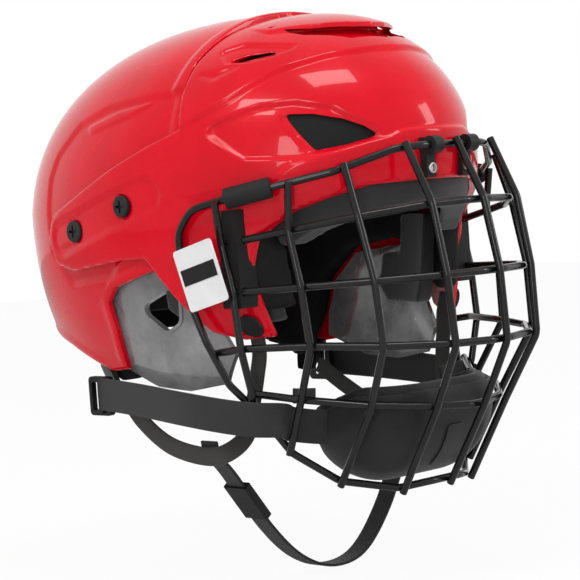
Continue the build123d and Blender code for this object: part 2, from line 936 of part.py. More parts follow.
def tag_spot():
    # lies against the side wire and leans with it
    spot = Plane(origin=tag_middle, x_dir=(0, 1, 0), z_dir=(-cos(radians(tag_lean)), 0, -sin(radians(tag_lean))))
    return spot * Rot(0, 0, tag_turn)


def tag_plate():
    return extrude(tag_spot() * RectangleRounded(tag_width, tag_height, edge_round), tag_thick)


def tag_band():
    strip = Pos(0, tag_band_up, tag_thick) * Rectangle(tag_width - 2 * edge_round, tag_band_height)
    return extrude(tag_spot() * strip, tag_band_thick)


def save(name, shape):
    solids = list(shape.solids())
    made = solids[0] if len(solids) == 1 else Compound(children=solids)
    made.label = name
    export_step(made, "parts/" + name + ".step")
    print(name, len(solids), "solids", round(sum(solid.volume for solid in solids)), "mm3", flush=True)


def save_pair(name, right):
    # the wearer's right is drawn; the left is its mirror image
    save(name + "_right", right)
    save(name + "_left", mirrored(right))


save("cage_frame", cage_frame())
save("cage_uprights", cage_uprights())
save("cage_cross_wires", cage_cross_wires())
save_pair("corner_sleeve", corner_sleeve())
save("side_screws", side_screws())
save("side_t_nuts", side_nuts())
save("clip_screws", clip_screws())
save("clip_nuts", clip_nuts())
save_pair("harness_strap", harness_strap())
save_pair("harness_buckle", buckle())
save_pair("ear_strap", ear_strap())
save_pair("ear_strap_snap", snap())
save("chin_strap", chin_strap())
save("chin_strap_slider", chin_slider())
save("chin_cup", chin_cup())
save("chin_cup_liner", cup_liner())
save("chin_cup_mesh", cup_mesh())
save_pair("cup_hanger", cup_hanger())
save("tag_plate", tag_plate())
save("tag_band", tag_band())
save_pair("bar_clip", clip(-1))
save_pair("side_bumper", side_bumper())
save_pair("strap_anchor", strap_anchor())
save_pair("ear_guard", ear_guard())
save_pair("temple_pad", temple_pad())
save("crown_pad", crown_pad())
save("nape_pad", nape_pad())
save("brow_pad", brow_pad())
save("front_liner", front_liner())
save("rear_liner", rear_liner())
save("rear_shell", rear_shell())
save("front_shell", front_shell())
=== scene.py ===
import bpy
import bmesh
import math
import numpy as np
from mathutils import Matrix, Vector


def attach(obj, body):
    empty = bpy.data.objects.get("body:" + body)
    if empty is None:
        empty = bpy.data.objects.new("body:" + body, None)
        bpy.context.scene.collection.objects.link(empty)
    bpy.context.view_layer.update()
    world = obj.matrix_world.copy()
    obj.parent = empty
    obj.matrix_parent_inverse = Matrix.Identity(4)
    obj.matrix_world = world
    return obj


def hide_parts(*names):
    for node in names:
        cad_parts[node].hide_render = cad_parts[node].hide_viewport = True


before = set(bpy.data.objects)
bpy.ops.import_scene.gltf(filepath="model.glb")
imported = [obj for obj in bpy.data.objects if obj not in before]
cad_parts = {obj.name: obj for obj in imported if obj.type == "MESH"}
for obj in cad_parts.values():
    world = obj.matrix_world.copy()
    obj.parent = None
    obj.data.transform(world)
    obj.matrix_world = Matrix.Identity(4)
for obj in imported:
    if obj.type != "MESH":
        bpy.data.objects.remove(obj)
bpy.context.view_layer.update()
mm = 0.001
sides = {"right": -1, "left": 1}   # the wearer's right is the near side
print("frame loaded")


# camera, fitted to the cage's mirrored wires

camera = {"place": (-0.7957, -0.8209, 0.0042), "azimuth": -44.516, "elevation": 2.855, "roll": -4.059,
          "lens": 124.14, "sensor": 36.0}


def addCamera(c):
    az, el, ro = (math.radians(c[k]) for k in ("azimuth", "elevation", "roll"))
    back = Vector((math.sin(az) * math.cos(el), -math.cos(az) * math.cos(el), math.sin(el)))
    right = Vector((0, 0, 1)).cross(back).normalized()
    up = back.cross(right)
    turnedRight = right * math.cos(ro) + up * math.sin(ro)
    turnedUp = up * math.cos(ro) - right * math.sin(ro)
    data = bpy.data.cameras.new("photoCamera")
    data.lens = c["lens"]
    data.sensor_width = c["sensor"]
    data.clip_start = 0.05
    obj = bpy.data.objects.new("photoCamera", data)
    bpy.context.scene.collection.objects.link(obj)
    m = Matrix((turnedRight, turnedUp, back)).transposed().to_4x4()
    m.translation = Vector(c["place"])
    obj.matrix_world = m
    bpy.context.scene.camera = obj


addCamera(camera)
bpy.context.scene.view_settings.view_transform = "Standard"


# node helpers

def newMaterial(name):
    mat = bpy.data.materials.new(name)
    mat.use_nodes = True
    tree = mat.node_tree
    return mat, tree, tree.nodes["Principled BSDF"]


def setSockets(shader, values):
    for name, value in values.items():
        shader.inputs[name].default_value = value


def addNode(tree, kind, values=None, **props):
    node = tree.nodes.new(kind)
    for key, value in props.items():
        setattr(node, key, value)
    for key, value in (values or {}).items():
        node.inputs[key].default_value = value
    return node


def newGroup(name, inputs, outputs):
    group = bpy.data.node_groups.new(name, "ShaderNodeTree")
    for socketName, kind, value in inputs:
        socket = group.interface.new_socket(socketName, in_out="INPUT", socket_type=kind)
        if value is not None:
            socket.default_value = value
    for socketName, kind in outputs:
        group.interface.new_socket(socketName, in_out="OUTPUT", socket_type=kind)
    return group, group.nodes.new("NodeGroupInput"), group.nodes.new("NodeGroupOutput")


def useGroup(tree, group, values=None):
    node = tree.nodes.new("ShaderNodeGroup")
    node.node_tree = group
    for key, value in (values or {}).items():
        node.inputs[key].default_value = value
    return node


# fine grain in Object coordinates: a height for Bump and a slow colour change
def buildGrain():
    group, start, end = newGroup(
        "surfaceGrain",
        [("Fine Scale", "NodeSocketFloat", 2500.0), ("Slow Scale", "NodeSocketFloat", 30.0),
         ("Dark", "NodeSocketColor", (0.01, 0.01, 0.01, 1)),
         ("Light", "NodeSocketColor", (0.03, 0.03, 0.03, 1)),
         ("Rough Low", "NodeSocketFloat", 0.5), ("Rough High", "NodeSocketFloat", 0.7)],
        [("Color", "NodeSocketColor"), ("Height", "NodeSocketFloat"), ("Roughness", "NodeSocketFloat")])
    link = group.links.new
    coords = addNode(group, "ShaderNodeTexCoord")
    fine = addNode(group, "ShaderNodeTexNoise", {"Detail": 3.0})
    slow = addNode(group, "ShaderNodeTexNoise", {"Detail": 4.0, "Roughness": 0.6})
    mix = addNode(group, "ShaderNodeMix", data_type="RGBA")
    spread = addNode(group, "ShaderNodeMapRange", {"From Min": 0.35, "From Max": 0.65})
    rough = addNode(group, "ShaderNodeMapRange", {"From Min": 0.35, "From Max": 0.65})
    link(coords.outputs["Object"], fine.inputs["Vector"])
    link(coords.outputs["Object"], slow.inputs["Vector"])
    link(start.outputs["Fine Scale"], fine.inputs["Scale"])
    link(start.outputs["Slow Scale"], slow.inputs["Scale"])
    link(slow.outputs["Fac"], spread.inputs["Value"])
    link(spread.outputs["Result"], mix.inputs["Factor"])
    link(start.outputs["Dark"], mix.inputs["A"])
    link(start.outputs["Light"], mix.inputs["B"])
    link(slow.outputs["Fac"], rough.inputs["Value"])
    link(start.outputs["Rough Low"], rough.inputs["To Min"])
    link(start.outputs["Rough High"], rough.inputs["To Max"])
    link(mix.outputs["Result"], end.inputs["Color"])
    link(fine.outputs["Fac"], end.inputs["Height"])
    link(rough.outputs["Result"], end.inputs["Roughness"])
    return group


# woven ribs in the strap's own UV, which is in metres
def buildWeave():
    group, start, end = newGroup(
        "webbingWeave",
        [("Rib Scale", "NodeSocketFloat", 700.0), ("Dark", "NodeSocketColor", (0.004, 0.004, 0.004, 1)),
         ("Light", "NodeSocketColor", (0.02, 0.02, 0.02, 1))],
        [("Color", "NodeSocketColor"), ("Height", "NodeSocketFloat")])
    link = group.links.new
    coords = addNode(group, "ShaderNodeTexCoord")
    along = addNode(group, "ShaderNodeTexWave", {"Distortion": 0.6, "Detail": 1.0}, bands_direction="X")
    across = addNode(group, "ShaderNodeTexWave", {"Distortion": 0.6, "Detail": 1.0}, bands_direction="Y")
    both = addNode(group, "ShaderNodeMath", operation="MULTIPLY")
    fuzz = addNode(group, "ShaderNodeTexNoise", {"Scale": 90.0, "Detail": 5.0})
    mix = addNode(group, "ShaderNodeMix", data_type="RGBA")
    share = addNode(group, "ShaderNodeMath", operation="MULTIPLY")
    for wave in (along, across):
        link(coords.outputs["UV"], wave.inputs["Vector"])
        link(start.outputs["Rib Scale"], wave.inputs["Scale"])
    link(along.outputs["Fac"], both.inputs[0])
    link(across.outputs["Fac"], both.inputs[1])
    link(coords.outputs["UV"], fuzz.inputs["Vector"])
    link(both.outputs[0], share.inputs[0])
    link(fuzz.outputs["Fac"], share.inputs[1])
    link(share.outputs[0], mix.inputs["Factor"])
    link(start.outputs["Dark"], mix.inputs["A"])
    link(start.outputs["Light"], mix.inputs["B"])
    link(mix.outputs["Result"], end.inputs["Color"])
    link(both.outputs[0], end.inputs["Height"])
    return group


grainGroup = buildGrain()
weaveGroup = buildWeave()


def grainMaterial(name, dark, light, fineScale, rough, bump, bumpDistance=0.0002, slowScale=30.0,
                  **shaderValues):
    mat, tree, shader = newMaterial(name)
    grain = useGroup(tree, grainGroup, {"Fine Scale": fineScale, "Slow Scale": slowScale, "Dark": (*dark, 1),
                                        "Light": (*light, 1), "Rough Low": rough[0], "Rough High": rough[1]})
    bumpNode = addNode(tree, "ShaderNodeBump", {"Strength": bump, "Distance": bumpDistance})
    tree.links.new(grain.outputs["Color"], shader.inputs["Base Color"])
    tree.links.new(grain.outputs["Roughness"], shader.inputs["Roughness"])
    tree.links.new(grain.outputs["Height"], bumpNode.inputs["Height"])
    tree.links.new(bumpNode.outputs["Normal"], shader.inputs["Normal"])
    setSockets(shader, {key.replace("_", " "): value for key, value in shaderValues.items()})
    return mat


def weaveMaterial(name, dark, light, ribScale):
    mat, tree, shader = newMaterial(name)
    weave = useGroup(tree, weaveGroup, {"Rib Scale": ribScale, "Dark": (*dark, 1), "Light": (*light, 1)})
    bumpNode = addNode(tree, "ShaderNodeBump", {"Strength": 0.5, "Distance": 0.0003})
    tree.links.new(weave.outputs["Color"], shader.inputs["Base Color"])
    tree.links.new(weave.outputs["Height"], bumpNode.inputs["Height"])
    tree.links.new(bumpNode.outputs["Normal"], shader.inputs["Normal"])
    setSockets(shader, {"Roughness": 0.8, "Sheen Weight": 0.15, "Sheen Roughness": 0.5})
    return mat


shellRed = grainMaterial("shellRed", (0.62, 0.0003, 0.010), (0.70, 0.0006, 0.014), 900.0, (0.24, 0.30), 0.02,
                         Specular_IOR_Level=0.06, Coat_Weight=0.6, Coat_Roughness=0.04, Coat_IOR=1.33)
guardSmoke = grainMaterial("guardSmoke", (0.20, 0.20, 0.205), (0.42, 0.42, 0.43), 400.0, (0.12, 0.28), 0.05,
                           Transmission_Weight=0.55, IOR=1.4, Coat_Weight=0.6, Coat_Roughness=0.08)
wireBlack = grainMaterial("wireBlack", (0.003, 0.003, 0.003), (0.008, 0.008, 0.008),
                          1800.0, (0.16, 0.26), 0.05,
                          Specular_IOR_Level=0.2, Coat_Weight=0.4, Coat_Roughness=0.08, Coat_IOR=1.33)
clipBlack = grainMaterial("clipBlack", (0.006, 0.006, 0.006), (0.014, 0.014, 0.014),
                          2600.0, (0.35, 0.5), 0.25,
                          Specular_IOR_Level=0.2)
rubberBlack = grainMaterial("rubberBlack", (0.006, 0.006, 0.006), (0.015, 0.015, 0.015),
                            1500.0, (0.5, 0.68), 0.3,
                            Specular_IOR_Level=0.2)
foamBlack = grainMaterial("foamBlack", (0.004, 0.004, 0.004), (0.012, 0.012, 0.012),
                          1200.0, (0.7, 0.9), 0.5, 0.0004,
                          Specular_IOR_Level=0.2)
padGrey = grainMaterial("padGrey", (0.022, 0.022, 0.023), (0.04, 0.04, 0.042), 2200.0, (0.75, 0.95), 0.5,
                        Sheen_Weight=0.25, Sheen_Roughness=0.5, Specular_IOR_Level=0.2)
cupBlack = grainMaterial("cupBlack", (0.004, 0.004, 0.004), (0.016, 0.016, 0.016), 1500.0, (0.5, 0.7), 0.3,
                         Sheen_Weight=0.15, Sheen_Roughness=0.5, Specular_IOR_Level=0.2)
tagWhite = grainMaterial("tagWhite", (0.74, 0.74, 0.75), (0.82, 0.82, 0.82), 900.0, (0.3, 0.4), 0.05)
tagBlack = grainMaterial("tagBlack", (0.004, 0.004, 0.004), (0.008, 0.008, 0.008), 900.0, (0.3, 0.4), 0.05,
                         Specular_IOR_Level=0.2)
screwBlack = grainMaterial("screwBlack", (0.008, 0.008, 0.008), (0.02, 0.02, 0.02), 2200.0, (0.35, 0.5), 0.2,
                           Specular_IOR_Level=0.2)
steel = grainMaterial("steel", (0.45, 0.45, 0.45), (0.62, 0.62, 0.62), 1500.0, (0.25, 0.4), 0.1, Metallic=1.0)
webbing = weaveMaterial("webbing", (0.003, 0.003, 0.003), (0.03, 0.03, 0.03), 500.0)
earWebbing = weaveMaterial("earWebbing", (0.012, 0.011, 0.010), (0.06, 0.055, 0.05), 620.0)
print("materials made")


# CAD nodes that stay, with their finish

finishes = {
    "ear_guard_right": guardSmoke, "ear_guard_left": guardSmoke,
    "side_screws": screwBlack, "side_t_nuts": steel, "bar_clip_right": clipBlack, "bar_clip_left": clipBlack,
    "clip_screws": steel, "clip_nuts": steel,
    "chin_strap_slider": clipBlack, "strap_anchor_right": clipBlack, "strap_anchor_left": clipBlack,
    "cage_frame": wireBlack, "cage_uprights": wireBlack, "cage_cross_wires": wireBlack,
    "corner_sleeve_right": rubberBlack, "corner_sleeve_left": rubberBlack,
    "side_bumper_right": rubberBlack, "side_bumper_left": rubberBlack,
    "harness_buckle_right": clipBlack, "harness_buckle_left": clipBlack,
    "chin_cup_mesh": cupBlack, "tag_plate": tagWhite, "tag_band": tagBlack,
}


def paint(obj, mat):
    obj.data.materials.clear()
    obj.data.materials.append(mat)


for name, mat in finishes.items():
    paint(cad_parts[name], mat)


# soft pieces, made from a merged copy of the solid they stand for

def deselectAll():
    if bpy.context.object and bpy.context.object.mode != "OBJECT":
        bpy.ops.object.mode_set(mode="OBJECT")
    bpy.ops.object.select_all(action="DESELECT")


def makeActive(obj):
    deselectAll()
    obj.select_set(True)
    bpy.context.view_layer.objects.active = obj


def applyModifier(obj, name, kind, **props):
    makeActive(obj)
    modifier = obj.modifiers.new(name, kind)
    for key, value in props.items():
        setattr(modifier, key, value)
    bpy.ops.object.modifier_apply(modifier=modifier.name)


# shells: a dome moved out by the moulded steps, then cut to its outline

dome = {"halfWidth": 105.5, "front": 139.5, "back": 148.5, "height": 102.5, "depth": 148.0, "middle": 14.0,
        "lean": -0.19, "levelPower": 2.25, "frontPower": 1.8, "backPower": 2.15, "drop": 7.0}


def domePoints(d, unit, grow, drop):
    # directions from the middle to places on the dome, in mm
    level = unit[:, 2]
    flat = np.hypot(unit[:, 0], unit[:, 1])
    reach = np.where(level >= 0, d["height"] - drop, d["depth"]) + grow
    z = np.sign(level) * np.abs(level) ** (2 / d["levelPower"]) * reach
    fullness = flat ** (2 / d["levelPower"])
    flat = np.maximum(flat, 1e-9)
    sinTurn, cosTurn = unit[:, 0] / flat, -unit[:, 1] / flat
    ahead = cosTurn > 0
    power = np.where(ahead, d["frontPower"], d["backPower"])
    length = np.where(ahead, d["front"], d["back"]) + grow
    x = np.sign(sinTurn) * (d["halfWidth"] + grow) * np.abs(sinTurn) ** (2 / power) * fullness
    y = -np.sign(cosTurn) * length * np.abs(cosTurn) ** (2 / power) * fullness
    return np.stack([x, y + d["middle"] + d["lean"] * np.maximum(z, 0), z], 1)


def rounded(points, radius):
    # the outline with each corner turned into a short curve
    made = []
    count = len(points)
    for i in range(count):
        a, b, c = (np.array(points[j % count], float) for j in (i - 1, i, i + 1))
        before, after = (a - b) / np.linalg.norm(a - b), (c - b) / np.linalg.norm(c - b)
        half = math.acos(max(-1, min(1, float(before @ after)))) / 2
        back = min(radius / math.tan(half), 0.45 * min(np.linalg.norm(a - b), np.linalg.norm(c - b)))
        for share in (0, 0.25, 0.5, 0.75, 1):
            made.append((1 - share) ** 2 * (b + before * back) + 2 * share * (1 - share) * b
                        + share ** 2 * (b + after * back))
    return np.array(made)


def insideBy(outline, points):
    # how far each point lies inside a closed outline, negative outside
    after = np.roll(outline, -1, 0)
    span = after - outline
    best = np.full(len(points), 1e9)
    odd = np.zeros(len(points), bool)
    for a, b, s in zip(outline, after, span):
        t = np.clip(((points - a) @ s) / max(s @ s, 1e-12), 0, 1)
        best = np.minimum(best, np.linalg.norm(points - a - t[:, None] * s, axis=1))
        crosses = (a[1] > points[:, 1]) != (b[1] > points[:, 1])
        if abs(s[1]) > 1e-12:
            odd ^= crosses & (points[:, 0] < a[0] + (points[:, 1] - a[1]) * s[0] / s[1])
    return np.where(odd, best, -best)


def softStep(distance, width):
    t = np.clip(distance / width + 0.5, 0, 1)
    return t * t * (3 - 2 * t)


def stadium(middle, length, width, tilt, steps=10):
    half, r = (length - width) / 2, width / 2
    made = [(half + r * math.cos(a), r * math.sin(a)) for a in
            [math.pi * (i / steps - 0.5) for i in range(steps + 1)]]
    made += [(-x, -y) for x, y in made]
    c, s = math.cos(math.radians(tilt)), math.sin(math.radians(tilt))
    return np.array([(middle[0] + x * c - y * s, middle[1] + x * s + y * c) for x, y in made])


def circle(middle, radius, steps=24):
    turns = [2 * math.pi * i / steps for i in range(steps)]
    return np.array([(middle[0] + radius * math.cos(a), middle[1] + radius * math.sin(a)) for a in turns])


def sphereMesh(name, segments, rings):
    deselectAll()
    bpy.ops.mesh.primitive_uv_sphere_add(segments=segments, ring_count=rings, radius=1)
    obj = bpy.context.object
    obj.name = name
    return obj


def readPoints(obj):
    co = np.zeros(len(obj.data.vertices) * 3)
    obj.data.vertices.foreach_get("co", co)
    return co.reshape(-1, 3)


def writePoints(obj, points):
    obj.data.vertices.foreach_set("co", (np.asarray(points) * mm).ravel())
    obj.data.update()


def refine(obj, near, grow, drop, rounds):
    # finer faces where a step or an edge runs
    for reach in rounds:
        makeActive(obj)
        bpy.ops.object.mode_set(mode="EDIT")
        bpy.ops.mesh.select_all(action="DESELECT")
        bpy.ops.object.mode_set(mode="OBJECT")
        unit = readPoints(obj)
        unit /= np.linalg.norm(unit, axis=1)[:, None]
        close = near(domePoints(dome, unit, grow, drop)) < reach
        corners = np.zeros(len(obj.data.loops), int)
        obj.data.loops.foreach_get("vertex_index", corners)
        starts = np.zeros(len(obj.data.polygons), int)
        obj.data.polygons.foreach_get("loop_start", starts)
        chosen = np.maximum.reduceat(close[corners].astype(int), starts).astype(bool)
        obj.data.polygons.foreach_set("select", chosen)
        obj.data.update()
        bpy.ops.object.mode_set(mode="EDIT")
        bpy.ops.mesh.subdivide(number_cuts=1)
        bpy.ops.object.mode_set(mode="OBJECT")
    unit = readPoints(obj)
    return unit / np.linalg.norm(unit, axis=1)[:, None]


def prism(name, outline, axis, low, high):
    # a side-view (axis X) or plan (axis Z) outline pushed from low to high, in mm
    deselectAll()
    bpy.ops.mesh.primitive_circle_add(vertices=len(outline), fill_type="NGON", radius=1)
    obj = bpy.context.object
    obj.name = name
    for vert, (u, v) in zip(obj.data.vertices, outline):
        vert.co = Vector((low, u, v) if axis == "X" else (u, v, low)) * mm
    bpy.ops.object.mode_set(mode="EDIT")
    bpy.ops.mesh.select_all(action="SELECT")
    push = (high - low) * mm
    bpy.ops.mesh.extrude_region_move(
        TRANSFORM_OT_translate={"value": (push, 0, 0) if axis == "X" else (0, 0, push)})
    bpy.ops.mesh.select_all(action="SELECT")
    bpy.ops.mesh.normals_make_consistent(inside=False)
    bpy.ops.object.mode_set(mode="OBJECT")
    return obj


def carve(obj, cutter, how):
    applyModifier(obj, "cut", "BOOLEAN", object=cutter, operation=how, solver="EXACT")
    bpy.data.objects.remove(cutter, do_unlink=True)


def plainDome(name, grow, drop, segments=128, rings=64):
    obj = sphereMesh(name, segments, rings)
    writePoints(obj, domePoints(dome, readPoints(obj), grow, drop))
    return obj


def edgeDrop(inside, radius):
    # how far a rounded rim falls near its edge
    t = np.clip(1 - inside / radius, 0, 1)
    return radius * (1 - np.sqrt(np.maximum(1 - t * t, 0)))


def finishShell(obj, body, node):
    makeActive(obj)
    bpy.ops.object.mode_set(mode="EDIT")
    bpy.ops.mesh.select_all(action="SELECT")
    bpy.ops.mesh.remove_doubles(threshold=0.00001)
    bpy.ops.mesh.dissolve_degenerate(threshold=0.00001)
    bpy.ops.mesh.normals_make_consistent(inside=False)
    bpy.ops.object.mode_set(mode="OBJECT")
    bpy.ops.object.shade_smooth_by_angle(angle=0.6)
    paint(obj, shellRed)
    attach(obj, body)
    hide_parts(node)
    print(obj.name, sum(len(face.vertices) - 2 for face in obj.data.polygons), "triangles")


screwPlaces = [(42.7, -10.2), (0.6, 1.7)]

frontShell = {
    "outline": [(-32, 130), (-32, 90), (-30.5, 74), (-32, 58), (-36, 40), (-14, 31.5), (12, 21), (40, 9),
                (66, -1), (73, -14), (66, -28), (49, -32), (4, -27), (-12, -27), (-25, -46), (-35, -60),
                (-43, -68), (-57, -72.5), (-71, -71.5), (-68, -37), (-73, -20), (-89, -7), (-103, -1), (-116, 4),
                (-132, 5), (-170, 4), (-170, 130)],
    "middle": [(-170, 76), (-104, 75), (-92, 72), (-77, 66), (-59.5, 52), (-36, 39), (-28, 60), (90, 60),
               (90, -90), (-84, -90), (-84, 12), (-92, 18), (-109, 22.5), (-124, 28), (-127, 31.5),
               (-170, 33)],
    "windowRecess": [(-50, 38), (-63, 44.5), (-75, 48.5), (-90, 49.5), (-105, 45.5), (-117, 36), (-123, 29.5),
                     (-108, 24), (-94, 20.5), (-72, 22)],
    "window": [(-84.5, 43.5), (-97, 42.5), (-108, 39), (-115.5, 34.6), (-120.5, 29.2), (-111, 25.6),
               (-99, 23.4), (-92, 33)],
    "slotRecess": [(-40, 79), (-51, 81.5), (-77, 78.5), (-70, 74), (-61, 71.8), (-49, 72)],
    "slot": [(-49.5, 73.5), (-56, 76), (-67, 77), (-70, 76), (-54, 72.5)],
    "hood": [(-46, -34), (-46, -56), (-31, -73), (-12, -84), (0, -87), (12, -84), (31, -73), (46, -56),
             (46, -34)],
    "mouth": [(-46, -50), (-38, -74), (-21, -93), (0, -99), (21, -93), (38, -74), (46, -50), (29, -66),
              (11, -77), (0, -79), (-11, -77), (-29, -66)],
    "dimple": [(-36, 68), (-48, 67), (-58, 70.5), (-47, 63.5)],
    "armSlot": ((20, -3.5), 94.0, 18.5, -15.9), "seat": 6.4,
    "inner": 2.4, "outer": 5.4, "raised": 1.6, "hoodRise": 3.2, "mouthRise": 1.2, "sunk": 1.4, "recess": 2.0,
    "edgeRound": 1.5, "corner": 2.0, "seam": -38.0, "seamFade": 26.0, "hoodStart": -34.0, "hoodRamp": 50.0,
    "domeTop": 40.0, "sideFrom": 30.0, "armDepth": 1.1, "dimpleDepth": 1.2, "seatDepth": 1.0, "cutRound": 0.9,
    "cutStart": {"mouth": 20.0, "window": 20.0, "slot": 35.0}, "margin": -9.0, "facets": (200, 100),
    "fineNear": (5.0, 2.4),
    "soft": {"middle": 3.0, "hood": 3.4, "window": 3.4, "slot": 2.4, "arm": 2.6, "dimple": 5.0, "seat": 0.6},
    "round": {"window": 4.0, "slot": 0.8, "slotRecess": 2.0, "middle": 5.0, "hood": 6.0, "dimple": 2.0},
}
farOut = 200.0   # past the helmet on every side, in mm


def makeFrontShell(s):
    outline = rounded(s["outline"], s["corner"])
    window, recess = rounded(s["window"], s["corner"]), rounded(s["windowRecess"], s["round"]["window"])
    slot = rounded(s["slot"], s["round"]["slot"])
    slotRecess = rounded(s["slotRecess"], s["round"]["slotRecess"])
    middle, hood = rounded(s["middle"], s["round"]["middle"]), rounded(s["hood"], s["round"]["hood"])
    mouth, dimple = rounded(s["mouth"], s["corner"]), rounded(s["dimple"], s["round"]["dimple"])
    arm, soft = stadium(*s["armSlot"]), s["soft"]
    seats = [circle(place, s["seat"]) for place in screwPlaces]

    def near(p):
        side, plan = p[:, 1:3], p[:, 0:2]
        found = np.full(len(p), 1e9)
        for line in (outline, window, recess, slot, slotRecess, middle, arm, dimple, *seats):
            found = np.minimum(found, np.abs(insideBy(line, side)))
        for line in (hood, mouth):
            found = np.minimum(found, np.where(p[:, 2] > 0, np.abs(insideBy(line, plan)), 1e9))
        found[insideBy(outline, side) < s["margin"]] = 1e9
        return found

    obj = sphereMesh("frontShell", *s["facets"])
    unit = refine(obj, near, s["outer"], dome["drop"], s["fineNear"])
    base = domePoints(dome, unit, s["outer"], dome["drop"])
    side, plan = base[:, 1:3], base[:, 0:2]
    above, wide = base[:, 2] > 0, np.abs(base[:, 0]) > s["sideFrom"]
    grow = np.full(len(base), s["outer"])
    behind = softStep(s["seam"] - base[:, 1], s["seamFade"])
    fade = np.where(base[:, 2] > s["domeTop"], behind, 1)
    grow += s["raised"] * (1 - softStep(insideBy(middle, side), soft["middle"])) * fade
    ramp = np.clip((s["hoodStart"] - base[:, 1]) / s["hoodRamp"], 0, 1)
    ramp = ramp * ramp * (3 - 2 * ramp)
    grow += s["hoodRise"] * softStep(insideBy(hood, plan), soft["hood"]) * above * ramp
    for line, width, depth in ((recess, soft["window"], s["recess"]), (slotRecess, soft["slot"], s["sunk"]),
                               (arm, soft["arm"], s["armDepth"]), (dimple, soft["dimple"], s["dimpleDepth"])):
        grow -= depth * softStep(insideBy(line, side), width) * wide
    for line in seats:
        grow -= s["seatDepth"] * softStep(insideBy(line, side), soft["seat"])
    grow -= edgeDrop(insideBy(outline, side), s["edgeRound"])
    for line in (window, slot):
        grow -= edgeDrop(-insideBy(line, side), s["cutRound"]) * wide
    writePoints(obj, domePoints(dome, unit, grow, dome["drop"]))
    lens = plainDome("mouthLens", s["outer"] + s["raised"] + s["mouthRise"], dome["drop"])
    carve(lens, prism("mouthPrism", mouth, "Z", s["cutStart"]["mouth"], farOut), "INTERSECT")
    carve(lens, plainDome("mouthFloor", s["outer"] - s["sunk"], dome["drop"]), "DIFFERENCE")
    carve(obj, prism("frontRegion", outline, "X", -farOut, farOut), "INTERSECT")
    carve(obj, lens, "DIFFERENCE")
    for side in (-1, 1):
        for kind, line in (("window", window), ("slot", slot)):
            span = sorted((side * s["cutStart"][kind], side * farOut))
            carve(obj, prism(kind + "Cut", line, "X", *span), "DIFFERENCE")
    carve(obj, plainDome("frontInside", s["inner"], dome["drop"]), "DIFFERENCE")
    finishShell(obj, "front", "front_shell")


rearShell = {
    "outline": [(-31, 130), (-31, 90), (-29.5, 74), (-31, 58), (-35, 38), (-50, 24), (-26, -6), (-24, -30),
                (-9, -34), (20, -42), (28, -50), (27, -66), (30, -88), (45, -89.8), (60, -84.5), (84, -76),
                (112, -70), (175, -66), (175, 130)],
    "panel": [(-26, 60), (-1.5, 58.4), (26.4, 55.8), (51.6, 48.4), (72, 32.5), (79, 20), (81, 3), (80, -24),
              (60, -40), (20, -36), (-28, 20)],
    "brace": [(-14, 57), (16, 53.5), (44, 46.5), (38, 43), (6, 50)],
    "lip": [(-50, 130), (-50, 62), (-22, 60), (-23, 78), (-25, 98), (-25, 130)],
    "slotTravel": 8.0, "slotRadius": 3.0, "slotTilt": -15.9,
    "wall": 3.0, "panelDepth": 1.3, "braceRise": 0.8, "lipRise": 1.6, "rimRise": 0.7, "edgeRound": 1.5,
    "corner": 2.0, "round": {"panel": 6.0, "brace": 3.0, "lip": 2.0},
    "soft": {"panel": 5.0, "brace": 3.0, "lip": 5.0}, "rimWidth": 4.5, "rimSoft": 3.0, "rimBelow": -30.0,
    "slotFrom": 60.0, "margin": -9.0, "facets": (200, 100), "fineNear": (5.0, 2.4),
}


def makeRearShell(s):
    outline = rounded(s["outline"], s["corner"])
    panel, brace, lip = (rounded(s[kind], s["round"][kind]) for kind in ("panel", "brace", "lip"))
    soft = s["soft"]

    def near(p):
        side = p[:, 1:3]
        found = np.full(len(p), 1e9)
        for line in (outline, panel, brace, lip):
            found = np.minimum(found, np.abs(insideBy(line, side)))
        found[insideBy(outline, side) < s["margin"]] = 1e9
        return found

    obj = sphereMesh("rearShell", *s["facets"])
    unit = refine(obj, near, 0.0, 0.0, s["fineNear"])
    base = domePoints(dome, unit, 0.0, 0.0)
    side = base[:, 1:3]
    grow = -s["panelDepth"] * softStep(insideBy(panel, side), soft["panel"])
    grow += s["braceRise"] * softStep(insideBy(brace, side), soft["brace"])
    grow += s["lipRise"] * softStep(insideBy(lip, side), soft["lip"])
    inside = insideBy(outline, side)
    grow += s["rimRise"] * (1 - softStep(inside - s["rimWidth"], s["rimSoft"])) * (base[:, 2] < s["rimBelow"])
    grow -= edgeDrop(inside, s["edgeRound"])
    writePoints(obj, domePoints(dome, unit, grow, 0.0))
    carve(obj, prism("rearRegion", outline, "X", -farOut, farOut), "INTERSECT")
    carve(obj, plainDome("rearInside", -s["wall"], 0.0), "DIFFERENCE")
    tilt = math.radians(s["slotTilt"])
    for y, z in screwPlaces:
        back = s["slotTravel"] / 2
        place = (y - back * math.cos(tilt), z - back * math.sin(tilt))
        slot = stadium(place, s["slotTravel"] + 2 * s["slotRadius"], 2 * s["slotRadius"], s["slotTilt"])
        for side in (-1, 1):
            span = sorted((side * s["slotFrom"], side * farOut))
            carve(obj, prism("screwSlot", slot, "X", *span), "DIFFERENCE")
    finishShell(obj, "rear", "rear_shell")


makeFrontShell(frontShell)
makeRearShell(rearShell)
print("shells made")


